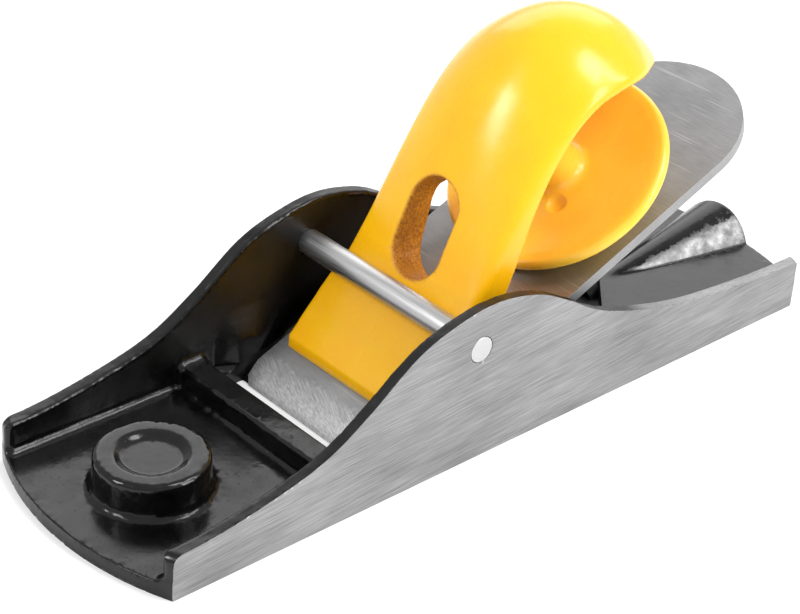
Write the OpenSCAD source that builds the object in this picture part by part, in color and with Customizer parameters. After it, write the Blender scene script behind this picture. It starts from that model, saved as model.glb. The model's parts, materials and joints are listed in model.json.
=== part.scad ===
// Low angle hand plane: an iron casting, a cutting iron on a sloping bed, and a palm-shaped
// lever cap that a large wheel clamps down under a cross pin.
// X runs from toe to heel, Y across, Z up. The origin is the bottom centre of the sole.

/* [Body casting] */
// Length of the sole over its two curved ends
body_l = 180; // [176:1:188]
// Width over the ground outer faces of the cheeks
body_w = 53.6; // [52:0.2:56]
// Thickness of each cheek
cheek_t = 3; // [2.4:0.1:3.2]
// Radius of the curved toe and heel in plan
end_r = 66; // [60:1:90]
// Height of the cheeks at the toe
toe_z = 9.4; // [8:0.1:10]
// Height of the cheeks at their peak beside the pin
peak_z = 34.1; // [33:0.1:36]
// Height of the cheeks at the heel
heel_z = 11.2; // [10:0.1:12]
// Thickness of the floor ahead of the mouth
floor_t = 3; // [2.6:0.1:3.6]
// Thickness of the floor under the heel
heel_floor_t = 5.7; // [5:0.1:6.4]

/* [Thumb rest and front bar] */
// Diameter of the thumb rest at its top edge
rest_d = 22.2; // [20:0.2:24]
// Height of the thumb rest above the sole
rest_z = 10.4; // [9:0.1:11]
// Distance of the thumb rest ahead of the origin
rest_x = 69.1; // [67:0.1:70]
// Height of the cross bar ahead of the mouth
bar_z = 7.5; // [6.5:0.1:8]

/* [Bed and mouth] */
// Slope of the bed under the iron, in degrees
bed_angle = 22.46; // [21.5:0.02:23.5]
// Distance ahead of the origin at which the bed plane meets the sole
bed_x = 31.5; // [31:0.1:32]
// Length of the mouth slot along the sole, ahead of the bed
mouth_l = 4.6; // [4.4:0.1:5]
// Width of the mouth slot across the sole
mouth_w = 42.6; // [42.2:0.1:43.4]

/* [Cross pin] */
// Diameter of the cross pin
pin_d = 5.4; // [5:0.1:5.4]
// Distance of the pin ahead of the origin
pin_x = 12.3; // [12:0.1:12.6]
// Height of the pin above the sole
pin_z = 24.95; // [24.7:0.05:25.6]

/* [Iron] */
// Width of the iron
iron_w = 41.2; // [39:0.2:41.4]
// Thickness of the iron
iron_t = 2.3; // [2:0.1:2.4]
// Distance from the cutting edge to the centre of the rounded end
iron_l = 98.9; // [94:0.1:104]
// Angle of the grinding on the cutting edge, in degrees
bevel_angle = 25; // [22:1:32]

/* [Lever cap] */
// Width of the cap at its nose and over the palm rest
cap_w = 35.4; // [33:0.2:37]
// Width of the slot through the cap
slot_w = 12.5; // [9:0.5:13]
// Length of the slot through the cap
slot_l = 21; // [17:0.5:22]

/* [Wheel and screw] */
// Diameter of the wheel
wheel_d = 48; // [44:0.5:49]
// Thickness of the wheel at its rim
wheel_rim_t = 2.2; // [1.8:0.1:2.4]
// Slope of the wheel, in degrees
wheel_angle = 36.1; // [35:0.1:37]
// Diameter of the screw
screw_d = 8; // [7:0.5:8]
// Radial running clearance of the screw in the wheel and in the cap
screw_gap = 0.06; // [0.04:0.01:0.09]

/* [Hidden] */
$fn = 96;

over = 1;                           // how far a cutting solid runs past what it cuts
half_w = body_w / 2;
inner_w = half_w - cheek_t;         // inner face of a cheek, from the middle plane
cheek_tip = sqrt(end_r * end_r - inner_w * inner_w) + body_l / 2 - end_r; // end of a cheek
mouth_front = -bed_x - mouth_l;     // front edge of the mouth on the sole
bar_front = -45;                    // front face of the cross bar
bar_back = -39.4;                   // back edge of the cross bar's top
edge_back = 0.4;                    // how far the cutting edge is drawn back up the bed
screw_top = 18;                     // top of the screw above the wheel, inside the cap
screw_rise = 3.1;                   // how far the screw climbs into the cap as the wheel slackens
hub_top = 7;                        // top of the wheel's hub, above the plane of its rim
function bed_point(x) = [x, (x + bed_x) * tan(bed_angle)];

// Side outline of a cheek from toe to heel: the points that the smooth edge passes through
cheek_edge = [
    [-body_l / 2 - over, toe_z], [-78, toe_z + 0.2], [-63.5, toe_z + 2.4], [-50.4, 15.3], [-40, 21.2],
    [-28.6, peak_z - 4.8], [-18.5, peak_z - 1.2], [-8.6, peak_z], [2.2, peak_z - 2.2],
    [11.1, 27.4], [20.4, 21.9], [32.7, heel_z + 6.3], [47, heel_z + 2.9], [64.8, heel_z + 0.9],
    [80, heel_z], [body_l / 2 + over, heel_z]
];

// Stations along the cap from nose to tail. Each gives the middle of the upper face (x, z), the
// lower edge of the rim (x, z), half the width, how far the upper face falls from the middle to
// the edge, and how far the hollow underside rises from the edge to the middle.
cap_half = cap_w / 2;
cap_stations = [
    [-22.7, 9.6, -23.3, 5.95, cap_half, 0, 0],
    [-16, 16.9, -13.5, 11.5, cap_half, 0, 0],
    [-10.4, 22.9, -4.6, 17, cap_half, 0.3, 0],
    [-8.6, 24.9, -0.8, 20.2, cap_half, 0.8, 0.3],
    [-6.6, 29.6, 2.6, 25.2, cap_half, 1.8, 1.2],
    [-3.8, 36.6, 6, 32.3, cap_half, 3.2, 3],
    [1.2, 47.2, 9.9, 42.8, cap_half, 4.6, 4.2],
    [6.2, 56.4, 14.3, 51.2, cap_half, 5.8, 4.6],
    [11.7, 64.2, 19, 57.5, cap_half, 7.1, 5],
    [18.6, 70.6, 24.2, 61.2, cap_half, 8.4, 5.6],
    [26.4, 73.7, 28.8, 62.6, cap_half, 9, 5.8],
    [34.2, 73.9, 33.2, 63.3, cap_half - 0.4, 8.8, 5.4],
    [41.5, 71.3, 38, 63.1, cap_half - 2, 7.6, 4],
    [47.4, 67.2, 43.6, 62.2, cap_half - 5.4, 5.2, 2.6],
    [52, 63.1, 49.2, 60.5, cap_half - 9.6, 2.8, 1],
    [55.1, 59.5, 54, 58.6, cap_half - 15.4, 0.3, 0.1]
];

// A point on the smooth curve through four points, a fraction t of the way from b to c
function between(a, b, c, d, t) =
    0.5 * (2 * b + (c - a) * t + (2 * a - 5 * b + 4 * c - d) * t * t
           + (3 * b - a - 3 * c + d) * t * t * t);
// The smooth curve through a list of points, with a number of steps between neighbours
function smooth(p, steps) = [
    for (i = [0:len(p) - 2]) for (s = [0:steps - 1])
        between(p[max(i - 1, 0)], p[i], p[i + 1], p[min(i + 2, len(p) - 1)], s / steps),
    p[len(p) - 1]
];
// Extrudes a side outline (drawn as X and Z) to a width across Y, centred on y
module across(w, y = 0) {
    translate([0, y + w / 2, 0]) rotate([90, 0, 0]) linear_extrude(w) children();
}

// Moves what is drawn upright at the origin so that it stands on the bed plane
module on_bed() {
    translate([-bed_x, 0, 0]) rotate([0, -bed_angle, 0]) children();
}

// Moves what is drawn upright at the origin so that the wheel's axis is its Z axis
wheel_c = [32.1, 39.15];
module on_wheel() {
    translate([wheel_c[0], 0, wheel_c[1]]) rotate([0, -wheel_angle, 0]) children();
}
// Height of the iron's upper face under the wheel's centre, along the wheel's axis
iron_below = (iron_t + (wheel_c[0] + bed_x) * sin(bed_angle) - wheel_c[1] * cos(bed_angle))
             / cos(wheel_angle - bed_angle);

// ---------------------------------------------------------------- body casting
// The plan of the sole: straight sides between two shallow arcs
module plan_outline() {
    intersection() {
        square([body_l, body_w], center = true);
        union() {
            square([body_l - 2 * end_r, body_w], center = true);
            for (side = [-1, 1]) translate([side * (body_l / 2 - end_r), 0]) circle(r = end_r, $fn = 240);
        }
    }
}

// One cheek: the bell-shaped side outline from the sole up, with a rounded toe corner whose arc
// starts just outside the end of the cheek
module cheek_outline() {
    corner_r = 2;
    corner_x = corner_r - cheek_tip - 0.25;
    spare = 4;
    difference() {
        polygon(concat(smooth(cheek_edge, 4), [[body_l / 2 + over, 0], [-body_l / 2 - over, 0]]));
        translate([corner_x, toe_z - corner_r]) difference() {
            translate([-corner_r - spare, 0]) square([corner_r + spare, 2 * corner_r]);
            circle(r = corner_r);
        }
    }
}

// The round rest for the thumb: a spreading foot, rounded rim and recessed top
module thumb_rest() {
    rim_r = 1.6;
    foot = 2.6;
    top_r = rest_d / 2;
    dish_r = [5.4, 7.8];
    dish_deep = 1.1;
    translate([-rest_x, 0, 0]) rotate_extrude($fn = 120) difference() {
        union() {
            square([top_r + foot, floor_t + foot]);
            square([top_r - rim_r, rest_z]);
            square([top_r, rest_z - rim_r]);
            translate([top_r - rim_r, rest_z - rim_r]) circle(r = rim_r, $fn = 48);
        }
        translate([top_r + foot, floor_t + foot]) circle(r = foot, $fn = 48);
        polygon([[0, rest_z - dish_deep], [dish_r[0], rest_z - dish_deep], [dish_r[1], rest_z],
                 [dish_r[1], rest_z + over], [0, rest_z + over]]);
    }
}

// The cross bar ahead of the mouth, undercut at the back to give shavings room
module front_bar() {
    chamfer = 0.6;
    across(body_w - cheek_t)
        polygon([[bar_front, 0], [bar_front, bar_z - chamfer], [bar_front + chamfer, bar_z],
                 [bar_back, bar_z], [mouth_front, 0]]);
}

// The sloping bed behind the mouth, and the cross rib that carries the iron further back
module bed() {
    bed_l = 19;
    rib_x = [12, 16.5];
    across(body_w - cheek_t)
        polygon([[-bed_x, 0], bed_point(bed_l - bed_x), [bed_l - bed_x, 0]]);
    across(body_w - cheek_t)
        polygon([[rib_x[0], 0], bed_point(rib_x[0]), bed_point(rib_x[1]), [rib_x[1], 0]]);
}

// The pads that guide the iron's corners on each side of the mouth
module guide_pads() {
    pad_x = [mouth_front - 1, mouth_front + 2, -27, -18];
    pad_top = [7, 13, 15, 10];
    outer = half_w - cheek_t / 2;
    inner = mouth_w / 2;
    for (side = [-1, 1])
        across(outer - inner, side * (outer + inner) / 2)
            polygon([[pad_x[0], 0], for (i = [0:3]) [pad_x[i], pad_top[i]], [pad_x[3], 0]]);
}

// The raised floor under the heel, with a notched front edge
module heel_floor() {
    step_x = [50.5, 27];
    linear_extrude(heel_floor_t)
        polygon([[step_x[0], 0], [step_x[1], inner_w + 1], [body_l / 2, inner_w + 1],
                 [body_l / 2, -inner_w - 1], [step_x[1], -inner_w - 1]]);
}

// The ridge on the heel: a cone that widens towards the end of the sole
module heel_ridge() {
    ridge_x = [46, 91];
    ridge_r = [2.4, 9.9];
    axis_z = 2.1;
    translate([ridge_x[0], 0, axis_z]) rotate([0, 90, 0])
        cylinder(h = ridge_x[1] - ridge_x[0], r1 = ridge_r[0], r2 = ridge_r[1]);
}

module plane_body() {
    color("#2b2b2d") difference() {
        intersection() {
            linear_extrude(peak_z + over) plan_outline();
            union() {
                linear_extrude(floor_t) square([body_l, body_w - cheek_t], center = true);
                for (side = [-1, 1]) across(cheek_t, side * (half_w - cheek_t / 2)) cheek_outline();
                thumb_rest();
                front_bar();
                bed();
                guide_pads();
                heel_floor();
                heel_ridge();
            }
        }
        // The mouth, from the undercut bar to the foot of the bed
        across(mouth_w) polygon([[mouth_front, -over], [mouth_front, 0], [bar_back, bar_z],
                                 [bar_back, bar_z + over], bed_point(bar_z / tan(bed_angle) - bed_x),
                                 [-bed_x, 0], [-bed_x, -over]]);
        // The drilled holes for the cross pin
        translate([-pin_x, 0, pin_z]) rotate([90, 0, 0])
            cylinder(h = body_w + 2 * over, d = pin_d, center = true);
    }
}

// ---------------------------------------------------------------- cross pin
module cross_pin() {
    color("#c9cbce") translate([-pin_x, 0, pin_z]) rotate([90, 0, 0])
        cylinder(h = body_w, d = pin_d, center = true);
}

// ---------------------------------------------------------------- iron
module plane_iron() {
    corner = 1.6;
    bevel_l = iron_t / tan(bevel_angle);
    half_i = iron_w / 2;
    color("#9a9b9d") on_bed() translate([edge_back, 0, 0]) intersection() {
        linear_extrude(iron_t) union() {
            polygon([[corner, half_i], [0, half_i - corner], [0, corner - half_i], [corner, -half_i],
                     [iron_l, -half_i], [iron_l, half_i]]);
            translate([iron_l, 0]) circle(r = half_i, $fn = 180);
        }
        // The grinding that makes the edge
        across(iron_w + over) polygon([[0, 0], [bevel_l, iron_t], [iron_l + iron_w, iron_t],
                                       [iron_l + iron_w, 0]]);
    }
}

// ---------------------------------------------------------------- lever cap
// One ring of points round the cap at a station: over the upper face, then back underneath
function cap_ring(st, n) =
    let (top = [st[0], st[1]], rim = [st[2], st[3]], up = (top - rim) / norm(top - rim))
    concat(
        [for (i = [0:n]) let (v = 1 - 2 * i / n, q = top - st[5] * v * v * up)
            [q[0], v * st[4], q[1]]],
        [for (i = [0:n]) let (v = 2 * i / n - 1, q = rim + st[6] * (1 - v * v) * up)
            [q[0], v * st[4], q[1]]]);

// The triangles that close a ring, from its upper points to the ones straight below them
function ring_end(n, base) = [
    for (i = [0:n - 1])
        let (upper = base + i, lower = base + 2 * n + 1 - i)
        each [[upper, upper + 1, lower], [upper + 1, lower - 1, lower]]
];

// The skin of the cap: rings joined by triangles, closed at the nose and the tail
module cap_shell() {
    n = 8;
    rings = [for (st = smooth(cap_stations, 2)) cap_ring(st, n)];
    m = 2 * (n + 1);
    last = len(rings) - 1;
    polyhedron(
        points = [for (ring = rings) each ring],
        faces = concat(
            ring_end(n, 0),
            [for (f = ring_end(n, last * m)) [f[2], f[1], f[0]]],
            [for (r = [0:last - 1]) for (i = [0:m - 1])
                let (a = r * m + i, b = r * m + (i + 1) % m, c = b + m, d = a + m)
                each [[a, d, b], [b, d, c]]]));
}

// The nose's two front corners, rounded in plan
module nose_corners() {
    corner_r = 3;
    nose_x = -23.3;
    nose_h = 12;
    for (side = [-1, 1]) translate([nose_x + corner_r, side * (cap_half - corner_r)])
        linear_extrude(nose_h) difference() {
            translate([-2 * corner_r, side > 0 ? 0 : -2 * corner_r]) square(2 * corner_r);
            circle(r = corner_r);
        }
}

module lever_cap() {
    boss_r = 6.2;
    boss_end = hub_top + screw_rise + 0.4;
    boss_top = 27.5;
    slot_mid = [-1, 35];
    slot_slope = 66;
    hole_end = screw_top + screw_rise + 0.6;
    color("#fbb81e") difference() {
        union() {
            cap_shell();
            // The boss under the palm rest that takes the screw
            on_wheel() translate([0, 0, boss_end]) cylinder(h = boss_top - boss_end, r = boss_r);
        }
        nose_corners();
        // The threaded hole for the screw
        on_wheel() translate([0, 0, boss_end - over])
            cylinder(h = hole_end - boss_end + over, r = screw_d / 2 + screw_gap);
        // The oval slot behind the pin
        translate([slot_mid[0], 0, slot_mid[1]]) rotate([0, 90 - slot_slope, 0]) rotate([0, -90, 0])
            linear_extrude(24, center = true) union() {
                square([slot_l - slot_w, slot_w], center = true);
                for (end = [-1, 1]) translate([end * (slot_l - slot_w) / 2, 0]) circle(d = slot_w);
            }
    }
}

// ---------------------------------------------------------------- wheel and screw
module cap_wheel() {
    hub_r = 5.2;
    hub_foot = 5.2;
    hub_foot_r = 8;
    hub_ease = 0.4;     // the hub's eased top edge
    flare = 4;          // radius of the hub's flared foot
    face_dip = 1.5;     // how far the upper face would sink at the middle
    face_r = wheel_d / 2 - 2.5;
    face_steps = 8;
    edge_r = 0.9;       // the rim's eased edges: a corner cut in two short steps
    edge_step = [0.25, 0.3];
    hole_r = screw_d / 2 + screw_gap;
    wheel_r = wheel_d / 2;
    flare_r = hub_r + flare;
    dimple_at = [-6.6, -5.9, 1.1];
    dimple_r = 2.8;
    function face_z(r) = -face_dip * (1 - r * r / (face_r * face_r));
    color("#fbb81e") on_wheel() difference() {
        rotate_extrude($fn = 180)
            polygon(concat(
                [[hole_r, hub_top], [hub_r - hub_ease, hub_top], [hub_r, hub_top - hub_ease]],
                [for (a = [0:15:75])
                    [flare_r - flare * cos(a), face_z(flare_r) + flare * (1 - sin(a))]],
                [for (i = [0:face_steps]) let (r = flare_r + (face_r - flare_r) * i / face_steps)
                    [r, face_z(r)]],
                [[wheel_r - edge_r, 0], [wheel_r - edge_step[0], -edge_step[1]], [wheel_r, -edge_r],
                 [wheel_r, edge_r - wheel_rim_t], [wheel_r - edge_step[0], edge_step[1] - wheel_rim_t],
                 [wheel_r - edge_r, -wheel_rim_t], [hub_foot_r + 2, 0.6 - hub_foot],
                 [hub_foot_r, -hub_foot], [hole_r, -hub_foot]]));
        // A shallow dimple in the upper face
        translate(dimple_at) sphere(r = dimple_r, $fn = 48);
    }
}

// The screw: a domed foot that stands just clear of the iron, which slopes less than the wheel does
module wheel_screw() {
    screw_r = screw_d / 2;
    dome_r = 6;
    foot_gap = 0.12;
    top_chamfer = 0.8;
    foot = iron_below - dome_r + (dome_r + foot_gap) / cos(wheel_angle - bed_angle);
    color("#b9bbbe") on_wheel() rotate_extrude() intersection() {
        union() {
            translate([0, foot + dome_r]) circle(r = dome_r);
            translate([0, foot + 2]) square([screw_r, screw_top - foot - 2]);
        }
        polygon([[0, foot], [screw_r, foot], [screw_r, screw_top - top_chamfer],
                 [screw_r - top_chamfer, screw_top], [0, screw_top]]);
    }
}

plane_body();
cross_pin();
plane_iron();
lever_cap();
cap_wheel();
wheel_screw();
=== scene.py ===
"""The looks of a low angle hand plane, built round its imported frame.

The castings (the body and the lever cap) are modelled as distance fields: plain solids are joined
with real fillets and their edges are rounded, and the surface is then drawn out as a mesh. The turned
and cut pieces (wheel, screw, pin, iron) are lathed or extruded. Sizes in this script are millimetres
in the frame's own axes: toe to -X, heel to +X, up +Z. Meshes are scaled to metres as they are made.
"""

import json
import math

import bmesh
import bpy
import numpy as np
import openvdb as vdb
from mathutils import Matrix, Vector


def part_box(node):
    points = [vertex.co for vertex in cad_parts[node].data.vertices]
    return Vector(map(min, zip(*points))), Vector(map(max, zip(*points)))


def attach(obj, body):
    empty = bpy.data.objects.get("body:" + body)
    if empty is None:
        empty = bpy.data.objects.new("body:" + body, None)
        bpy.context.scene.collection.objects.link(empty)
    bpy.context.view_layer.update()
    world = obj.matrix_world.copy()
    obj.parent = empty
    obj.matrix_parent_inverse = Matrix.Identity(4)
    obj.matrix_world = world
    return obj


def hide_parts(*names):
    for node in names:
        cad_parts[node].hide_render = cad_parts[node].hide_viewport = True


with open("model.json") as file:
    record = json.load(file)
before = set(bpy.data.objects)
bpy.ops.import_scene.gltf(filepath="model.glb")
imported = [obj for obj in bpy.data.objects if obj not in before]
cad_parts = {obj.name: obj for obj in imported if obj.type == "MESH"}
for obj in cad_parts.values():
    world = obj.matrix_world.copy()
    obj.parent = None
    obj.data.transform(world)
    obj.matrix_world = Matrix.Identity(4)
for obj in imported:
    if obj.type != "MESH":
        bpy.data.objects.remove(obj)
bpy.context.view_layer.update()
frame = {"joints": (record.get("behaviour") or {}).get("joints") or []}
MM = 0.001


def box_mm(node):
    """Lowest and highest corner of a CAD node, in millimetres."""
    low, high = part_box(node)
    return np.array(low) / MM, np.array(high) / MM


def joint(name):
    """The record's joint of that name."""
    return next(j for j in frame["joints"] if j["name"] == name)


# ------------------------------------------------------------------ sizes from the frame
body_low, body_high = box_mm("plane_body")
pin_low, pin_high = box_mm("cross_pin")
HALF_L = body_high[0]
HALF_W = body_high[1]
PEAK_Z = body_high[2]
PIN_R = (pin_high[2] - pin_low[2]) / 2
PIN_X = (pin_low[0] + pin_high[0]) / 2
PIN_Z = (pin_low[2] + pin_high[2]) / 2
WHEEL_AXIS = np.array(joint("wheel_turn")["axis"])
WHEEL_AT = np.array(joint("wheel_turn")["pos_m"]) / MM
BED_ANGLE = math.atan2(joint("iron_slide")["axis"][2], joint("iron_slide")["axis"][0])

# ------------------------------------------------------------------ sizes of the body casting
CHEEK_IN = HALF_W - 3  # inner face of a cheek at its foot
CHEEK_LEAN = 0.012  # how much thinner a cheek is for each millimetre up
END_R = 66  # the toe's and heel's curve in plan
FLOOR_Z = 3
REST_X, REST_R, REST_Z = -69.1, 11.1, 10.4  # thumb rest
BAR_FRONT, BAR_BACK, BAR_Z = -45, -39.4, 7.5  # cross bar ahead of the mouth
MOUTH_X, MOUTH_Y = -36.1, 21.3  # front edge of the mouth on the sole, and half its width
BED_X, BED_END = -31.5, -12.5  # where the bed's plane meets the sole, and the back of the bed
RIB_FRONT, RIB_BACK = 12, 16.5  # the rib under the iron
PAD_X, PAD_REACH, PAD_TOP = -28, 12, 17.5  # middle, half length and top of the pads beside the mouth
HEEL_Z = 5.7
RIDGE_FRONT, RIDGE_AXIS_Z = 46, 2.1  # front of the heel's ridge, and the height of its axis
# The smooth side outline of a cheek, from toe to heel
CHEEK_EDGE = [
    (-91, 9.4), (-78, 9.6), (-63.5, 11.8), (-50.4, 15.3), (-40, 21.2), (-28.6, PEAK_Z - 4.8),
    (-18.5, PEAK_Z - 1.2), (-8.6, PEAK_Z), (2.2, PEAK_Z - 2.2), (11.1, 27.4), (20.4, 21.9),
    (32.7, 17.5), (47, 14.1), (64.8, 12.1), (80, 11.2), (91, 11.2),
]

# ------------------------------------------------------------------ sizes of the lever cap
CAP_HALF = 17.7
CAP_NOSE_X = -23.3
SCREW_HOLE_R = 4.06
# Stations from nose to tail: the middle of the upper face (x, z), the lower edge of the rim (x, z),
# half the width, how far the upper face falls to its edge, and how far the hollow underside rises
CAP_STATIONS = [
    (-22.7, 9.6, CAP_NOSE_X, 5.95, CAP_HALF, 0, 0),
    (-16, 16.9, -13.5, 11.5, CAP_HALF, 0, 0),
    (-10.4, 22.9, -4.6, 17, CAP_HALF, 0.3, 0),
    (-8.6, 24.9, -0.8, 20.2, CAP_HALF, 0.8, 0.3),
    (-6.6, 29.6, 2.6, 25.2, CAP_HALF, 1.8, 1.2),
    (-3.8, 36.6, 6, 32.3, CAP_HALF, 3.2, 3),
    (1.2, 47.2, 9.9, 42.8, CAP_HALF, 4.6, 4.2),
    (6.2, 56.4, 14.3, 51.2, CAP_HALF, 5.8, 4.6),
    (11.7, 64.2, 19, 57.5, CAP_HALF, 7.1, 5),
    (18.6, 70.6, 24.2, 61.2, CAP_HALF, 8.4, 5.6),
    (26.4, 73.7, 28.8, 62.6, CAP_HALF, 9, 5.8),
    (34.2, 73.9, 33.2, 63.3, CAP_HALF - 0.4, 8.8, 5.4),
    (41.5, 71.3, 38, 63.1, CAP_HALF - 2, 7.6, 4),
    (47.4, 67.2, 43.6, 62.2, CAP_HALF - 5.4, 5.2, 2.6),
    (52, 63.1, 49.2, 60.5, CAP_HALF - 9.6, 2.8, 1),
    (55.1, 59.5, 54, 58.6, CAP_HALF - 15.4, 0.3, 0.1),
]


# ------------------------------------------------------------------ curves
def smooth_curve(points, steps):
    """The smooth curve through a list of points, with a number of steps between neighbours."""
    p = np.array(points, float)
    p = np.vstack([2 * p[0] - p[1], p, 2 * p[-1] - p[-2]])
    t = (np.arange(steps) / steps)[:, None]
    parts = []
    for a, b, c, d in zip(p, p[1:], p[2:], p[3:]):
        parts.append(0.5 * (2 * b + (c - a) * t + (2 * a - 5 * b + 4 * c - d) * t**2
                            + (3 * b - a - 3 * c + d) * t**3))
    return np.vstack(parts + [p[-2:-1]])


def eased(points, radii, steps=6):
    """A line through points with each corner replaced by an arc of its own radius."""
    p = [np.array(q, float) for q in points]
    out = [p[0]]
    for before, at, after, radius in zip(p, p[1:], p[2:], radii):
        if radius == 0:
            out.append(at)
            continue
        u = (before - at) / np.linalg.norm(before - at)
        v = (after - at) / np.linalg.norm(after - at)
        half = math.acos(np.clip(u @ v, -1, 1)) / 2
        reach = radius / math.tan(half)
        centre = at + (u + v) / np.linalg.norm(u + v) * radius / math.sin(half)
        a, b = at + u * reach - centre, at + v * reach - centre
        turn = math.pi - 2 * half
        for i in range(steps + 1):
            t = i / steps
            out.append(centre + (a * math.sin((1 - t) * turn) + b * math.sin(t * turn)) / math.sin(turn))
    return np.array(out + [p[-1]])


# ------------------------------------------------------------------ distance fields
# A field gives the distance from a surface at x, y and z: negative inside, positive outside.
def joined(a, b, r):
    """Both solids, with a fillet of radius r in the corner between them."""
    return np.maximum(r, np.minimum(a, b)) - np.hypot(np.maximum(r - a, 0), np.maximum(r - b, 0))


def common(a, b, r):
    """What lies in both solids, with the edge between them rounded to radius r."""
    return np.minimum(-r, np.maximum(a, b)) + np.hypot(np.maximum(r + a, 0), np.maximum(r + b, 0))


def beside(u, v, start, end):
    """Distance to the right of a line from start to end."""
    du, dv = end[0] - start[0], end[1] - start[1]
    return ((u - start[0]) * dv - (v - start[1]) * du) / math.hypot(du, dv)


def waves(x, y, z, size, seed, count=20):
    """Smooth random waves about size long, mostly between -1 and 1."""
    draw = np.random.default_rng(seed)
    total = 0
    for _ in range(count):
        way = draw.normal(size=3)
        way *= 2 * math.pi / (np.linalg.norm(way) * size * draw.uniform(0.6, 1.5))
        total = total + np.sin(way[0] * x + way[1] * y + way[2] * z + draw.uniform(0, 6.28))
    return total / math.sqrt(count / 2) / 1.6


def surface_mesh(field, low, high, cell, merge):
    """The surface of a field as (points, faces). merge joins faces where the surface is flat."""
    axes = [np.arange(a - 2 * cell, b + 3 * cell, cell) for a, b in zip(low, high)]
    x, y, z = np.meshgrid(*axes, indexing="ij", sparse=True)
    values = np.clip(field(x, y, z) / cell, -3, 3).astype(np.float32)
    grid = vdb.FloatGrid(3.0)
    grid.copyFromArray(values)
    points, triangles, quads = grid.convertToPolygons(0.0, merge)
    points = np.array(points, float) * cell + [a[0] for a in axes]
    points = settled(points, field, cell)
    return points, [*map(list, triangles[:, ::-1]), *map(list, quads[:, ::-1])]


def settled(points, field, cell):
    """Moves each point to where the planes that touch the surface round it meet, so edges stay crisp."""
    step = cell * 0.05
    stay = 0.08
    matrix = np.tile(np.eye(3) * stay, (len(points), 1, 1))
    right = points * stay
    for corner in np.ndindex(2, 2, 2):
        at = points + (np.array(corner) - 0.5) * cell
        d = field(*at.T)
        slope = np.stack([field(*(at + step * np.eye(3)[i]).T) - d for i in range(3)], 1) / step
        length = np.maximum(np.linalg.norm(slope, axis=1), 0.2)
        slope, d = slope / length[:, None], d / length
        matrix += slope[:, :, None] * slope[:, None, :]
        right += slope * ((slope * at).sum(1) - d)[:, None]
    moved = np.linalg.solve(matrix, right[:, :, None])[:, :, 0]
    shift = moved - points
    far = np.linalg.norm(shift, axis=1, keepdims=True)
    return points + shift * np.minimum(1, 0.9 * cell / np.maximum(far, 1e-9))


def sampled(values, origin, cell):
    """A field read from a block of samples."""
    top = np.array(values.shape) - 1.001

    def field(x, y, z):
        x, y, z = np.broadcast_arrays(x, y, z)
        at = [np.clip((c - o) / cell, 0, t) for c, o, t in zip((x, y, z), origin, top)]
        i, j, k = [c.astype(int) for c in at]
        u, v, w = at[0] - i, at[1] - j, at[2] - k
        near = values[i, j, k] * (1 - w) + values[i, j, k + 1] * w
        side = values[i, j + 1, k] * (1 - w) + values[i, j + 1, k + 1] * w
        front = near * (1 - v) + side * v
        near = values[i + 1, j, k] * (1 - w) + values[i + 1, j, k + 1] * w
        side = values[i + 1, j + 1, k] * (1 - w) + values[i + 1, j + 1, k + 1] * w
        return front * (1 - u) + (near * (1 - v) + side * v) * u

    return field


# ------------------------------------------------------------------ pieces
def piece(name, points, faces, body, node, material, sharp=None, marks=None):
    """A mesh in millimetres becomes a piece that rides on a body and stands for a CAD node.
    sharp is the angle in degrees above which an edge is shaded sharp. marks are named values at its
    points, which its material reads."""
    mesh = bpy.data.meshes.new(name)
    mesh.from_pydata([tuple(p) for p in np.asarray(points) * MM], [], faces)
    for key, values in (marks or {}).items():
        mesh.attributes.new(key, "FLOAT", "POINT").data.foreach_set("value", values.astype(np.float32))
    mesh.validate()
    bm = bmesh.new()
    bm.from_mesh(mesh)
    bmesh.ops.recalc_face_normals(bm, faces=bm.faces)
    bm.to_mesh(mesh)
    bm.free()
    mesh.shade_smooth()
    if sharp is not None:
        mesh.set_sharp_from_angle(angle=math.radians(sharp))
    obj = bpy.data.objects.new(name, mesh)
    bpy.context.scene.collection.objects.link(obj)
    mesh.materials.append(material)
    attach(obj, body)
    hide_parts(node)
    return obj


def lathe(profile, segments):
    """A closed ring profile (r, z) turned about the Z axis. Points at r 0 become one point."""
    points, faces, rings = [], [], []
    for r, z in profile:
        if r < 1e-6:
            rings.append([len(points)] * segments)
            points.append((0, 0, z))
            continue
        rings.append(list(range(len(points), len(points) + segments)))
        for s in range(segments):
            a = 2 * math.pi * s / segments
            points.append((r * math.cos(a), r * math.sin(a), z))
    for lower, upper in zip(rings, rings[1:]):
        for s in range(segments):
            t = (s + 1) % segments
            corners = [lower[s], lower[t], upper[t], upper[s]]
            faces.append(list(dict.fromkeys(corners)))
    return np.array(points, float), [f for f in faces if len(f) > 2]


def on_wheel(points):
    """Points drawn about Z are moved so that Z becomes the wheel's axis."""
    across = np.array([WHEEL_AXIS[2], 0, -WHEEL_AXIS[0]])
    return WHEEL_AT + points @ np.array([across, [0, 1, 0], WHEEL_AXIS])


# ------------------------------------------------------------------ body casting
edge_line = smooth_curve(CHEEK_EDGE, 24)
edge_slope = np.gradient(edge_line[:, 1], edge_line[:, 0])


def over_edge(x, z):
    """Distance above the side outline of a cheek."""
    height = np.interp(x, edge_line[:, 0], edge_line[:, 1])
    slope = np.interp(x, edge_line[:, 0], edge_slope)
    return (z - height) / np.sqrt(1 + slope**2)


def in_plan(x, y):
    """Distance outside the sole's two curved ends."""
    return np.hypot(np.maximum(np.abs(x) - (HALF_L - END_R), 0), y) - END_R


def thumb_rest(x, y, z):
    """The round rest with a rounded rim and a shallow recess in its top."""
    out = np.hypot(x - REST_X, y)
    solid = common(out - REST_R - (REST_Z - z) * 0.03, z - REST_Z, 1.2)
    dish = z - REST_Z + 1.1 * (1 - ramp(out, 5.2, 7.8))
    return np.maximum(solid, dish * 0.88)


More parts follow.
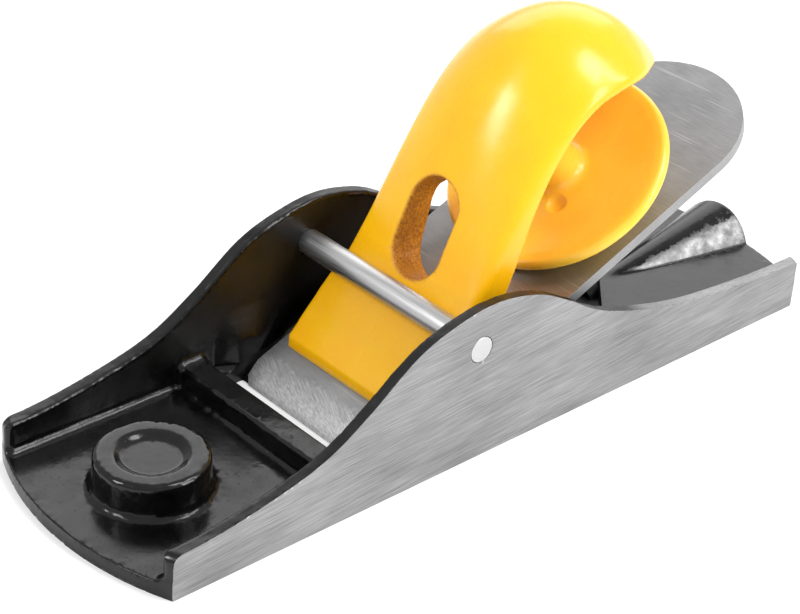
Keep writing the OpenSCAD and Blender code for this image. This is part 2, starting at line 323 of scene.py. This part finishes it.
def cross_bar(x, y, z):
    """The bar ahead of the mouth, with its narrow top and undercut back."""
    front = common(BAR_FRONT - x - (BAR_Z - z) * 0.06, z - BAR_Z, 0.9)
    return common(front, beside(x, z, (MOUTH_X, 0), (BAR_BACK, BAR_Z)), 0.3)


def above_bed(x, z):
    """Distance above the sloping plane that the iron lies on."""
    return (z - (x - BED_X) * math.tan(BED_ANGLE)) * math.cos(BED_ANGLE)


def ramp(value, low, high):
    """Rises smoothly from 0 at low to 1 at high."""
    t = np.clip((value - low) / (high - low), 0, 1)
    return t * t * (3 - 2 * t)


def guide_pads(x, y, z):
    """The swellings of the cheeks that guide the iron's corners beside the mouth."""
    swell = ramp(x, -38.5, -30) * ramp(-x, 15, 28) * ramp(-z, -18, -8)
    # Clear of the swelling the surface lies inside the leaning cheek.
    sunk = 0.4
    plain = CHEEK_IN + sunk + (z - FLOOR_Z) * CHEEK_LEAN
    return (plain - (CHEEK_IN - MOUTH_Y + sunk) * swell - np.abs(y)) * 0.85


def heel(x, y, z):
    """The raised floor under the heel and the ridge along it."""
    edge = beside(x, np.abs(y), (27, 24.8), (50.5, 0))
    floor = common(z - HEEL_Z, edge, 0.5)
    # The ridge is a cone that widens by 1 in 6 towards the heel
    ridge = (np.hypot(y, z - RIDGE_AXIS_Z) - (2.4 + (x - RIDGE_FRONT) / 6)) * 0.986
    return joined(floor, np.maximum(ridge, RIDGE_FRONT - x), 0.3)


def casting(x, y, z):
    """The whole iron casting."""
    side = np.abs(y)
    cheeks = common(CHEEK_IN - side + (z - FLOOR_Z) * CHEEK_LEAN, over_edge(x, z), 0.7)
    cheeks = common(cheeks, in_plan(x, y), np.where(x < 0, 2.2, 0.9))
    solid = joined(z - FLOOR_Z, thumb_rest(x, y, z), 1.7)
    solid = joined(solid, cross_bar(x, y, z), 1.1)
    bed = np.maximum(above_bed(x, z), np.maximum(x - BED_END, BED_X - x))
    rib = np.maximum(above_bed(x, z), np.maximum(RIB_FRONT - x, x - RIB_BACK))
    solid = joined(joined(solid, bed, 0.4), rib, 0.4)
    solid = joined(solid, heel(x, y, z), 0.4)
    swollen = np.maximum(guide_pads(x, y, z), np.maximum(z - PAD_TOP, np.abs(x - PAD_X) - PAD_REACH))
    solid = joined(solid, np.minimum(cheeks, swollen), 1.9)
    # What the mouth and the iron's seat clear away
    mouth = np.maximum(beside(x, z, (BAR_BACK, BAR_Z), (MOUTH_X, 0)), -above_bed(x, z))
    solid = common(solid, -np.maximum(mouth, side - MOUTH_Y), 0.2)
    solid = common(solid, in_plan(x, y), 0.45)
    # The ground faces, which leave the pin's ends a hair proud, and the drilled hole
    solid = np.maximum(solid, np.maximum(side - HALF_W + 0.02, -z))
    hole = np.hypot(x - PIN_X, z - PIN_Z) - PIN_R - 0.1
    return common(solid, -hole, 0.1)


def lumpy(points, field):
    """Gives the enamelled faces the slight waves of a painted casting; ground faces stay flat."""
    x, y, z = points.T
    step = 0.05
    base = field(x, y, z)
    normal = np.stack([field(*(points + step * np.eye(3)[i]).T) - base for i in range(3)], 1)
    normal /= np.maximum(np.linalg.norm(normal, axis=1, keepdims=True), 1e-9)
    ground = np.minimum(np.minimum(HALF_W - np.abs(y), z), np.abs(np.hypot(x - PIN_X, z - PIN_Z) - PIN_R))
    free = np.clip((ground - 0.3) / 0.8, 0, 1) * np.clip(above_bed(x, z) * 4 + 4, 0, 1)
    # None at the mouth, and less in the corners along the cheeks and on top of the thumb rest
    free *= np.clip(np.maximum(np.abs(x + 38) - 3, np.abs(y) - MOUTH_Y) / 1.5, 0, 1)
    free *= np.clip((np.hypot(np.abs(y) - CHEEK_IN, z - FLOOR_Z) - 2) / 4, 0.3, 1)
    free *= np.where(np.hypot(x - REST_X, y) < REST_R - 1, 0.4, 1)
    inside = np.clip(-in_plan(x, y) * 2, 0, 1)
    height = 0.06 * waves(x, y, z, 6, 1) + 0.04 * waves(x, y, z, 2.2, 2)
    return points + normal * ((height - 0.03) * free * (0.4 + 0.6 * inside))[:, None]


def make_body(material):
    cell = 0.42
    points, faces = surface_mesh(casting, body_low, body_high, cell, 0.001)
    points = np.clip(lumpy(points, casting), body_low, body_high)
    marks = {"below_edge": -over_edge(points[:, 0], points[:, 2])}
    obj = piece("body_casting", points, faces, "body", "plane_body", material, 50, marks)
    flat = obj.modifiers.new("flat_faces_stay_flat", "WEIGHTED_NORMAL")
    flat.mode, flat.weight, flat.keep_sharp = "FACE_AREA", 50, True
    return obj


# ------------------------------------------------------------------ lever cap
def cap_rings(around=48, steps=6):
    """The skin of the cap as rings of points: over the upper face, round its edge and back underneath."""
    v = np.sin(np.linspace(1, -1, around + 1) * math.pi / 2)[:, None]
    rings = []
    for ux, uz, rx, rz, half, crown, hollow in smooth_curve(CAP_STATIONS, steps):
        top, rim = np.array([ux, uz]), np.array([rx, rz])
        deep = np.linalg.norm(top - rim)
        up = (top - rim) / deep
        half = max(half, 0.5)
        radius = 0.9 + 1.1 * np.clip((uz - 20) / 14, 0, 1)
        radius = min(radius, 0.48 * (deep - crown), half)
        into = np.maximum(np.abs(v) * half - (half - radius), 0)
        ease = radius - np.sqrt(np.maximum(radius**2 - into**2, 0))
        upper = top - (crown * v**2 + ease) * up
        lower = rim + (hollow * (1 - v**2) + ease) * up
        ring = [(x, w * half, z) for (x, z), w in zip(upper, v[:, 0])]
        ring += [(x, w * half, z) for (x, z), w in zip(lower[::-1], v[::-1, 0])]
        rings.append(ring)
    return np.array(rings, float)


def level_block(points, quads, triangles, shape, band):
    """Distances from a closed mesh, in cells, on a block of samples."""
    grid = vdb.FloatGrid.createLevelSetFromPolygons(
        points.astype(np.float32), quads=quads.astype(np.uint32), triangles=triangles.astype(np.uint32),
        transform=vdb.createLinearTransform(1.0), halfWidth=band)
    block = np.zeros(shape, np.float32)
    grid.copyToArray(block)
    return block


def rounded_block(block, radius, band):
    """The same solid with its outer edges rounded: shrunk by a radius and grown back."""
    grid = vdb.FloatGrid(float(band))
    grid.copyFromArray(block)
    points, quads = grid.convertToQuads(-radius)
    none = np.zeros((0, 3), np.uint32)
    return level_block(np.array(points), np.array(quads), none, block.shape, band) - radius


def cap_block(cell):
    """Samples of the cap's outer form. The edges of its nose, which the rings leave sharp, are eased."""
    rings = cap_rings()
    count, m = rings.shape[:2]
    low = rings.reshape(-1, 3).min(0) - 4
    high = rings.reshape(-1, 3).max(0) + 4
    shape = tuple(((high - low) / cell).astype(int) + 1)
    points = (rings.reshape(-1, 3) - low) / cell
    quads = [(r * m + i, r * m + (i + 1) % m, (r + 1) * m + (i + 1) % m, (r + 1) * m + i)
             for r in range(count - 1) for i in range(m)]
    caps = []
    for base in (0, (count - 1) * m):
        for i in range(m // 2 - 1):
            upper, lower = base + i, base + m - 1 - i
            caps += [(upper, upper + 1, lower), (upper + 1, lower - 1, lower)]
    band = 6
    form = level_block(points, np.array(quads), np.array(caps), shape, band)
    nose = rounded_block(form, 0.8 / cell, band)
    x = low[0] + np.arange(shape[0]) * cell
    share = np.clip((x + 14) / 6, 0, 1)[:, None, None]
    return (nose * (1 - share) + form * share) * cell, low


def make_cap(material):
    cell = 0.36
    block, low = cap_block(cell)
    form = sampled(block, low, cell)
    boss_r, boss_foot, boss_top, hole_top = 6.2, 10.5, 27.5, 21.7
    corner_r = 2.4
    slot_at, slot_w, slot_l = np.array([-1, 35]), 12.5, 21
    slope = math.radians(66)
    along = np.array([math.cos(slope), math.sin(slope)])

    def slot(x, y, z):
        """Distance outside the oval slot, which is drawn out along the cap."""
        s = (x - slot_at[0]) * along[0] + (z - slot_at[1]) * along[1]
        return np.hypot(np.maximum(np.abs(s) - (slot_l - slot_w) / 2, 0), y) - slot_w / 2

    def solid(x, y, z):
        cap = form(x, y, z)
        # The boss that takes the screw
        dx, dz = x - WHEEL_AT[0], z - WHEEL_AT[2]
        rise = dx * WHEEL_AXIS[0] + dz * WHEEL_AXIS[2]
        out = np.hypot(dx * WHEEL_AXIS[2] - dz * WHEEL_AXIS[0], y)
        boss = common(out - boss_r, np.maximum(boss_foot - rise, rise - boss_top), 0.5)
        cap = joined(cap, boss, 2.0)
        cap = common(cap, -common(out - SCREW_HOLE_R, rise - hole_top, 0.2), 0.3)
        # The slot, with the slight waves of a cast wall
        near = np.abs((x - slot_at[0]) * along[1] - (z - slot_at[1]) * along[0]) - 12
        rough = 0.05 * waves(x, y, z, 3, 5, 12)
        cap = common(cap, -np.maximum(slot(x, y, z) + rough, near), 0.7)
        # The nose's two corners, rounded in plan
        ahead = np.maximum(CAP_NOSE_X + corner_r - x, 0)
        beyond = np.maximum(np.abs(y) - CAP_HALF + corner_r, 0)
        return np.where(x < -15, np.maximum(cap, np.hypot(ahead, beyond) - corner_r), cap)

    high = low + (np.array(block.shape) - 1) * cell
    points, faces = surface_mesh(solid, low + 3, high - 3, cell, 0.01)
    # Marks the slot's walls: coarse as cast, and coloured darker as painted shade
    marks = {"as_cast_and_painted_shade": np.clip(1.3 - np.abs(slot(*points.T)) / 0.5, 0, 1)}
    return piece("lever_cap_casting", points, faces, "cap", "lever_cap", material,
                 marks=marks)


# ------------------------------------------------------------------ wheel and screw
def make_wheel(material):
    """A dished wheel with a rounded rim, a hub on both sides and a small dimple in its face."""
    hole, radius, rim_t, dip, foot = SCREW_HOLE_R, 24, 2.2, 1.5, 5.2
    face_r, hub_r, hub_top, flare = 21.5, 5.2, 7, 2.4
    dimple_x, dimple_y, dimple_r, dimple_deep = -6.6, -5.9, 2.2, 1.1

    def face(r):
        return -dip * (1 - (r / face_r) ** 2)

    dish = [(r, face(r)) for r in np.linspace(hub_r + flare + 0.5, face_r, 50)]
    hub = eased([(hole, hub_top), (hub_r, hub_top), (hub_r, face(hub_r)), dish[0]], [0.35, flare], 12)
    rim = eased([dish[-1], (radius, 0), (radius, -rim_t), (10, 0.6 - foot), (8, -foot), (hole, -foot),
                 (hole, hub_top)], [1.4, 0.7, 3, 1.2, 0.3], 8)
    points, faces = lathe([tuple(q) for q in hub] + dish[1:] + [tuple(q) for q in rim[1:]], 240)
    x, y, z = points.T
    out = np.hypot(x, y)
    far = np.hypot(x - dimple_x, y - dimple_y) / dimple_r
    top = (z > -1.6) & (out > hub_r + 0.5)
    z = z - top * dimple_deep * np.maximum(1 - far**2, 0)
    # Slight waves in the face, which stays below the plane of the rim
    z = z + 0.04 * waves(x, y, z, 9, 8) * (out > 9)
    points = np.stack([x, y, np.minimum(z, np.where(out > 9, 0, hub_top))], 1)
    return piece("clamping_wheel", on_wheel(points), faces, "wheel", "cap_wheel", material)


def make_screw(material):
    """A screw with a domed foot and a real thread."""
    low, high = -9.55, 17.9
    major, minor, pitch, dome_r, segments = 4.0, 3.4, 1.5, 6, 64
    rings = int((high - low) / (pitch / 12))
    points = []
    for i in range(rings + 1):
        z = low + (high - low) * i / rings
        for s in range(segments):
            a = 2 * math.pi * s / segments
            turn = (z / pitch - s / segments) % 1
            tooth = np.clip(1.25 - abs(turn - 0.5) * 3.2, 0, 1)
            r = minor + (major - minor) * tooth
            dome = math.sqrt(max(dome_r**2 - max(dome_r - (z - low), 0) ** 2, 0))
            r = min(r, dome, 3.2 + (high - z))
            points.append((r * math.cos(a), r * math.sin(a), z))
    faces = [[i * segments + s, i * segments + (s + 1) % segments, (i + 1) * segments + (s + 1) % segments,
              (i + 1) * segments + s] for i in range(rings) for s in range(segments)]
    faces.append(list(range(segments)))
    faces.append(list(range(rings * segments, (rings + 1) * segments)))
    return piece("clamping_screw", on_wheel(np.array(points)), faces, "screw", "wheel_screw",
                 material, 50)


# ------------------------------------------------------------------ iron and pin
def make_iron(material):
    thick, half, corner, length, drawn_back = 2.3, 20.6, 1.6, 98.9, 0.4
    outline = [(corner, half), (0, half - corner), (0, corner - half), (corner, -half)]
    for i in range(97):
        a = math.pi * (i / 96 - 0.5)
        outline.append((length + half * math.cos(a), half * math.sin(a)))
    bm = bmesh.new()
    lower = [bm.verts.new((u, v, 0)) for u, v in outline]
    upper = [bm.verts.new((u, v, thick)) for u, v in outline]
    bm.faces.new(lower)
    bm.faces.new(upper[::-1])
    for i in range(len(outline)):
        j = (i + 1) % len(outline)
        bm.faces.new([lower[i], upper[i], upper[j], lower[j]])
    # The grinding that makes the edge
    bevel = math.radians(25)
    geometry = bm.verts[:] + bm.edges[:] + bm.faces[:]
    cut = bmesh.ops.bisect_plane(bm, geom=geometry, plane_co=(0, 0, 0.02), clear_outer=True,
                                 plane_no=(-math.sin(bevel), 0, math.cos(bevel)))
    edges = [e for e in cut["geom_cut"] if isinstance(e, bmesh.types.BMEdge)]
    bmesh.ops.contextual_create(bm, geom=edges)
    rotation = Matrix.Rotation(-BED_ANGLE, 4, "Y")
    place = Matrix.Translation((BED_X, 0, 0)) @ rotation @ Matrix.Translation((drawn_back, 0, 0))
    bm.transform(Matrix.Scale(MM, 4) @ place)
    bmesh.ops.recalc_face_normals(bm, faces=bm.faces)
    mesh = bpy.data.meshes.new("cutting_iron")
    bm.to_mesh(mesh)
    bm.free()
    mesh.materials.append(material)
    obj = bpy.data.objects.new("cutting_iron", mesh)
    bpy.context.scene.collection.objects.link(obj)
    ease = obj.modifiers.new("eased_edges", "BEVEL")
    ease.width, ease.segments, ease.limit_method, ease.angle_limit = 0.00016, 2, "ANGLE", math.radians(30)
    mesh.shade_smooth()
    mesh.set_sharp_from_angle(angle=math.radians(35))
    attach(obj, "iron")
    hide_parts("plane_iron")
    return obj


def make_pin(material):
    half = pin_high[1]
    profile = eased([(0, -half), (PIN_R, -half), (PIN_R, half), (0, half)], [0.15, 0.15], 4)
    points, faces = lathe(profile, 96)
    x, y, z = points.T
    points = np.stack([x + PIN_X, z, PIN_Z - y], 1)
    return piece("cross_pin_rod", points, faces, "body", "cross_pin", material, 40)


# ------------------------------------------------------------------ materials
class Nodes:
    """A material whose nodes are added one at a time."""

    def __init__(self, name):
        self.material = bpy.data.materials.new(name)
        self.material.use_nodes = True
        self.tree = self.material.node_tree
        self.shader = self.tree.nodes["Principled BSDF"]
        self.place = self.add("ShaderNodeTexCoord").outputs["Object"]

    def add(self, kind, inputs=None, **settings):
        """A node with its settings, and its inputs linked or set."""
        node = self.tree.nodes.new(kind)
        for key, value in settings.items():
            setattr(node, key, value)
        for key, value in (inputs or {}).items():
            self.put(node.inputs[key], value)
        return node

    def put(self, socket, value):
        if isinstance(value, bpy.types.NodeSocket):
            self.tree.links.new(value, socket)
        else:
            socket.default_value = value

    def math(self, operation, a, b=0.0):
        return self.add("ShaderNodeMath", {0: a, 1: b}, operation=operation).outputs[0]

    def span(self, value, low, high, to_low=0.0, to_high=1.0):
        """Maps a range of values onto another, and holds it there."""
        node = self.add("ShaderNodeMapRange", {"Value": value, "From Min": low, "From Max": high,
                                               "To Min": to_low, "To Max": to_high})
        return node.outputs["Result"]

    def blend(self, share, a, b):
        """Colour a where share is 0, and b where it is 1."""
        node = self.add("ShaderNodeMix", data_type="RGBA")
        self.put(node.inputs["Factor"], share)
        self.put(node.inputs["A"], a)
        self.put(node.inputs["B"], b)
        return node.outputs["Result"]

    def lerp(self, share, a, b):
        node = self.add("ShaderNodeMix", data_type="FLOAT")
        self.put(node.inputs["Factor"], share)
        self.put(node.inputs["A"], a)
        self.put(node.inputs["B"], b)
        return node.outputs["Result"]

    def noise(self, size_mm, detail=2.0, stretch=(1, 1, 1), rough=0.5, turned=(0, 0, 0)):
        """Noise with features about size_mm across, drawn out by stretch along axes turned by turned."""
        mapping = self.add("ShaderNodeMapping", {"Vector": self.place, "Rotation": turned, "Scale": stretch},
                           vector_type="TEXTURE")
        node = self.add("ShaderNodeTexNoise", {"Vector": mapping.outputs[0], "Scale": 1 / (size_mm * MM),
                                               "Detail": detail, "Roughness": rough})
        return node.outputs["Fac"]

    def bump(self, height, depth_mm, strength=1.0, under=None):
        inputs = {"Height": height, "Distance": depth_mm * MM, "Strength": strength}
        if under is not None:
            inputs["Normal"] = under
        return self.add("ShaderNodeBump", inputs).outputs["Normal"]

    def finish(self, **inputs):
        for key, value in inputs.items():
            self.put(self.shader.inputs[key.replace("_", " ")], value)
        return self.material


def grey(v):
    return (v, v, v * 1.01, 1)


def casting_material():
    """Gloss black enamel, with ground iron showing on the sole, the cheeks' outer faces and their heel
    edges, and a painted highlight of mottled iron greys on the near side of the heel's ridge.
    """
    m = Nodes("enamel_ground_iron_and_painted_highlight")
    x, y, z = m.add("ShaderNodeSeparateXYZ", {0: m.place}).outputs
    below_edge = m.add("ShaderNodeAttribute", attribute_name="below_edge").outputs["Fac"]
    ragged = m.math("MULTIPLY", m.math("SUBTRACT", m.noise(1.6, 3), 0.5), 0.16)
    side = m.math("ADD", m.math("MULTIPLY", m.math("ABSOLUTE", y), 1 / MM), ragged)
    cheek = m.span(side, HALF_W - 0.13, HALF_W - 0.1)
    sole = m.span(z, 0.06 * MM, 0.09 * MM, 1.0, 0.0)
    worn = m.math("MULTIPLY", m.span(m.math("ADD", below_edge, ragged), 0.1, 0.14, 1.0, 0.0),
                  m.span(x, 30 * MM, 36 * MM))
    worn = m.math("MULTIPLY", worn, m.span(side, CHEEK_IN - 0.3, CHEEK_IN))
    # Painted highlight: the near side of the heel's ridge gets mottled iron greys, on that one side only,
    # for the light it catches
    mottle = m.noise(2.6, 4, rough=0.65)
    lean = m.math("DIVIDE", y, m.math("SUBTRACT", z, RIDGE_AXIS_Z * MM))
    lean = m.math("ADD", lean, m.math("MULTIPLY", m.math("SUBTRACT", mottle, 0.5), 0.9))
    painted_ridge_highlight = m.span(lean, -0.5, -0.36, 1.0, 0.0)
    for share in (m.span(z, (HEEL_Z + 0.25) * MM, (HEEL_Z + 0.5) * MM), m.span(y, -12 * MM, -11 * MM),
                  m.span(x, 47 * MM, 50 * MM), m.span(mottle, 0.3, 0.5, 0.45, 1.0)):
        painted_ridge_highlight = m.math("MULTIPLY", painted_ridge_highlight, share)
    # This mask covers the real ground iron and also the painted highlight on the ridge's near side
    ground_iron_and_painted_highlight = m.math("MAXIMUM", m.math("MAXIMUM", cheek, sole), m.math("MAXIMUM", worn, painted_ridge_highlight))
    # Ground iron: long fine scratches in slightly different directions
    fine = m.noise(0.11, 2, (60, 1, 1), 0.6, (0, math.radians(-2), 0))
    coarse = m.noise(0.3, 3, (40, 1, 1), 0.6, (0, math.radians(-5), 0))
    cloud = m.noise(9, 3, (2.5, 1, 1))
    scratch = m.math("ADD", m.math("MULTIPLY", fine, 0.55), m.math("MULTIPLY", coarse, 0.45))
    shade = m.math("ADD", m.math("MULTIPLY", scratch, 0.7), m.math("MULTIPLY", cloud, 0.3))
    ground = m.blend(m.span(shade, 0.38, 0.62), grey(0.2), grey(0.42))
    # Painted highlight in mottled greys on the near side of the heel's ridge
    ground = m.blend(painted_ridge_highlight, ground, m.blend(m.span(mottle, 0.35, 0.65), grey(0.08), grey(0.29)))
    # Enamel: near black, duller in patches
    patch = m.noise(7, 3, rough=0.6)
    enamel = m.blend(m.span(patch, 0.35, 0.65), grey(0.0015), grey(0.005))
    gloss = m.span(m.noise(4.5, 3), 0.3, 0.7, 0.12, 0.26)
    # The cheeks are duller above the floor, except along the rounded inner edge
    upper = m.math("MULTIPLY", m.span(side, CHEEK_IN - 4, CHEEK_IN - 1.5), m.span(z, 7 * MM, 13 * MM))
    corner = m.math("MULTIPLY", m.span(below_edge, 0.06, 0.16), m.span(below_edge, 0.9, 1.6, 1.0, 0.0))
    upper = m.math("MULTIPLY", upper, m.math("SUBTRACT", 1.0, corner))
    gloss = m.math("ADD", gloss, m.math("MULTIPLY", upper, 0.2))
    # So is the trough under the iron
    trough = m.math("MULTIPLY", m.span(z, 5.2 * MM, 5.4 * MM, 1.0, 0.0), m.span(x, -30 * MM, -28 * MM))
    gloss = m.math("ADD", gloss, m.math("MULTIPLY", trough, 0.45))
    peel = m.bump(m.noise(1.5, 2), 0.05, 0.6)
    pits = m.bump(m.span(m.noise(0.6, 1), 0.68, 0.8), -0.05, 0.6, peel)
    lines = m.bump(scratch, 0.01, 0.4)
    normal = m.add("ShaderNodeMix", data_type="VECTOR")
    m.put(normal.inputs["Factor"], ground_iron_and_painted_highlight)
    m.put(normal.inputs[4], pits)
    m.put(normal.inputs[5], lines)
    return m.finish(Base_Color=m.blend(ground_iron_and_painted_highlight, enamel, ground), Metallic=ground_iron_and_painted_highlight, Specular_IOR_Level=0.37,
                    Roughness=m.lerp(ground_iron_and_painted_highlight, gloss, m.span(scratch, 0.3, 0.7, 0.38, 0.5)),
                    Normal=normal.outputs[1])


def paint_material(name, deep, light):
    """Thick gloss yellow paint on rough cast iron. The slot's walls are left as cast, so they are coarser
    and less glossy, and they take darker browns as painted shade for the slot's recess.
    """
    m = Nodes(name)
    cast = m.add("ShaderNodeAttribute", attribute_name="as_cast_and_painted_shade").outputs["Fac"]
    tone = m.span(m.noise(11, 3), 0.3, 0.7)
    colour = m.blend(tone, deep, light)
    grit = m.noise(0.5, 3, rough=0.6)
    # Painted shade: darker browns on the slot's walls, for the recess they sit in
    shaded = m.blend(m.span(grit, 0.35, 0.65), (0.34, 0.12, 0.003, 1), (0.7, 0.28, 0.006, 1))
    wave = m.bump(m.noise(3.2, 2), 0.1, 0.3)
    peel = m.bump(m.noise(0.9, 2), 0.02, 0.35, wave)
    rough = m.bump(m.math("MULTIPLY", grit, cast), 0.35, 0.8, peel)
    return m.finish(Base_Color=m.blend(cast, colour, shaded),
                    Roughness=m.lerp(cast, m.span(m.noise(5, 2), 0.3, 0.7, 0.22, 0.32), 0.5),
                    Normal=rough, Specular_IOR_Level=0.42, Coat_Weight=0.2, Coat_Roughness=0.14)


def iron_material():
    """Ground tool steel: fine grain along the upper face and a coarser grinding on the bevel."""
    m = Nodes("ground_tool_steel")
    tilt = Matrix.Rotation(-BED_ANGLE, 3, "Y")
    slant = tilt @ Matrix.Rotation(math.radians(-25), 3, "Z")
    across, slanted = tuple(tilt.to_euler()), tuple(slant.to_euler())
    x = m.add("ShaderNodeSeparateXYZ", {0: m.place}).outputs["X"]
    grain = m.noise(0.13, 3, (1, 24, 1), 0.6, across)
    scratch = m.span(m.noise(0.5, 2, (1, 36, 1), 0.5, across), 0.64, 0.72)
    stone = m.noise(0.2, 3, (1, 22, 1), 0.55, slanted)
    ragged = m.math("MULTIPLY", m.math("SUBTRACT", m.noise(1.2, 3), 0.5), 0.004)
    bevel = m.span(m.math("ADD", x, ragged), -26.5 * MM, -24.5 * MM, 1.0, 0.0)
    cloud = m.noise(9, 3)
    shade = m.math("ADD", m.math("MULTIPLY", grain, 0.6), m.math("MULTIPLY", cloud, 0.4))
    face = m.blend(m.span(shade, 0.35, 0.65), grey(0.29), grey(0.42))
    face = m.blend(m.math("MULTIPLY", scratch, 0.5), face, grey(0.6))
    edge = m.blend(m.span(stone, 0.35, 0.65), grey(0.36), grey(0.62))
    normal = m.bump(m.lerp(bevel, grain, stone), 0.012, 0.5)
    return m.finish(Base_Color=m.blend(bevel, face, edge), Metallic=1.0,
                    Roughness=m.lerp(bevel, m.span(grain, 0.3, 0.7, 0.48, 0.58), 0.5), Normal=normal)


def pin_material():
    """Bright drawn rod."""
    m = Nodes("bright_steel")
    drawn = m.noise(0.25, 2, (1, 30, 1))
    colour = m.blend(drawn, grey(0.5), grey(0.66))
    return m.finish(Base_Color=colour, Metallic=1.0, Roughness=m.span(drawn, 0.3, 0.7, 0.34, 0.44),
                    Normal=m.bump(drawn, 0.002, 0.3))


def screw_material():
    """Zinc plate."""
    m = Nodes("zinc_plate")
    cloud = m.noise(1.4, 3)
    colour = m.blend(cloud, grey(0.42), grey(0.6))
    return m.finish(Base_Color=colour, Metallic=1.0, Roughness=m.span(cloud, 0.3, 0.7, 0.28, 0.42),
                    Normal=m.bump(m.noise(0.3, 2), 0.01, 0.4))


# ------------------------------------------------------------------ stage, light and camera
def make_stage():
    bpy.ops.mesh.primitive_plane_add(size=8, location=(0, 0, -0.00002))
    floor = bpy.context.object
    floor.name = "floor"
    m = Nodes("pale_floor")
    floor.data.materials.append(m.finish(
        Base_Color=(0.8, 0.8, 0.8, 1), Roughness=0.9, Emission_Color=(1, 1, 1, 1), Emission_Strength=0.25))
    world = bpy.data.worlds.new("studio")
    world.use_nodes = True
    world.node_tree.nodes["Background"].inputs["Color"].default_value = (1, 1, 1, 1)
    world.node_tree.nodes["Background"].inputs["Strength"].default_value = 0.7
    bpy.context.scene.world = world


def softbox(name, at, width, height, glow):
    """A rectangular lamp that faces the object. glow is its brightness beside a white wall's."""
    lamp = bpy.data.lights.new(name, "AREA")
    lamp.shape, lamp.size, lamp.size_y = "RECTANGLE", width, height
    lamp.energy = glow * math.pi * width * height
    obj = bpy.data.objects.new(name, lamp)
    obj.location = at
    obj.rotation_euler = (Vector((0, 0, 0.02)) - Vector(at)).to_track_quat("-Z", "Y").to_euler()
    bpy.context.scene.collection.objects.link(obj)


def make_camera():
    """The camera looks down on the toe and the near cheek, turned a little about its own axis."""
    azimuth, elevation, roll = math.radians(-43.936), math.radians(31.1605), math.radians(4.0329)
    place = Vector((-268.40, -269.60, 246.26)) * MM
    back = Vector((math.sin(azimuth) * math.cos(elevation), -math.cos(azimuth) * math.cos(elevation),
                   math.sin(elevation)))
    right = Vector((math.cos(azimuth), math.sin(azimuth), 0))
    up = back.cross(right)
    side = math.cos(roll) * right + math.sin(roll) * up
    top = math.cos(roll) * up - math.sin(roll) * right
    data = bpy.data.cameras.new("camera")
    data.lens, data.sensor_width = 99.585, 36
    camera = bpy.data.objects.new("camera", data)
    turn = Matrix((side, top, back)).transposed().to_4x4()
    camera.matrix_world = Matrix.Translation(place) @ turn
    bpy.context.scene.collection.objects.link(camera)
    bpy.context.scene.camera = camera


paint = paint_material("yellow_paint", (1.0, 0.48, 0.002, 1), (1.0, 0.54, 0.004, 1))
wheel_paint = paint_material("yellow_wheel_paint", (1.0, 0.57, 0.04, 1), (1.0, 0.63, 0.06, 1))
make_body(casting_material())
make_cap(paint)
make_wheel(wheel_paint)
make_screw(screw_material())
make_iron(iron_material())
make_pin(pin_material())
make_stage()
softbox("key_light", (0.34, -0.42, 0.98), 0.3, 0.3, 12)
softbox("left_light", (-0.85, 0.25, 0.74), 0.26, 0.36, 14)
softbox("right_card", (0.66, -0.57, 0.68), 0.13, 0.6, 12)
softbox("low_card", (0.38, -0.86, 0.52), 0.2, 0.7, 10)
softbox("back_wall", (0.9, 0.95, 0.75), 1.5, 0.9, 1.6)
make_camera()
bpy.context.scene.view_settings.view_transform = "Standard"
